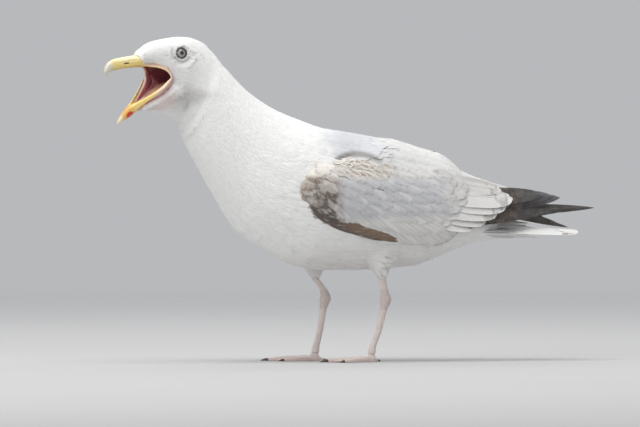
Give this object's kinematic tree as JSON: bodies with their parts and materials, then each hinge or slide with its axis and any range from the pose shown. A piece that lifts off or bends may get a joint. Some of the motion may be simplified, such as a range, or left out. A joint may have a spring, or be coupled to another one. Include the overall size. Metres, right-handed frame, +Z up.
{
  "type": "herring gull, standing and calling",
  "caption": "Life-size still model of a standing herring gull, neck stretched forward and bill wide open in a call.",
  "frame": {"origin": "centre of the bounding box on the plane of the soles", "axes": "-X the way the bird's body faces, +X towards the wing tips, -Y its left side, +Z up"},
  "size_m": [0.5666, 0.1426, 0.3579],
  "materials": {
    "white_plumage": "soft white contour feathers, shaded grey below",
    "tail_feathers": "smooth white vanes with a few dark marks",
    "grey_plumage": "pale grey wing feathers with brown and white marks",
    "dark_flight_feathers": "brown-black vanes, slightly worn",
    "leg_skin": "flesh-pink scaled skin",
    "claw_horn": "dark horn",
    "bill_horn": "yellow horn with a red spot and pale tips",
    "mouth_skin": "moist pink and dark red skin",
    "eye": "clear wet eye, silvery iris and black pupil"
  },
  "bodies": {
    "root": {"head": "white_plumage", "neck": "white_plumage", "trunk": "white_plumage", "thigh_left": "white_plumage", "thigh_right": "white_plumage", "tail": "tail_feathers", "wing_left": "grey_plumage", "wing_right": "grey_plumage", "primaries_left": "dark_flight_feathers", "primaries_right": "dark_flight_feathers", "leg_left": "leg_skin", "leg_right": "leg_skin", "foot_left": "leg_skin", "foot_right": "leg_skin", "claw_middle_left": "claw_horn", "claw_outer_left": "claw_horn", "claw_inner_left": "claw_horn", "claw_hind_left": "claw_horn", "claw_middle_right": "claw_horn", "claw_outer_right": "claw_horn", "claw_inner_right": "claw_horn", "claw_hind_right": "claw_horn", "bill_upper": "bill_horn", "bill_lower": "bill_horn", "tongue": "mouth_skin", "eye_left": "eye", "eye_right": "eye"}
  },
  "joints": []
}
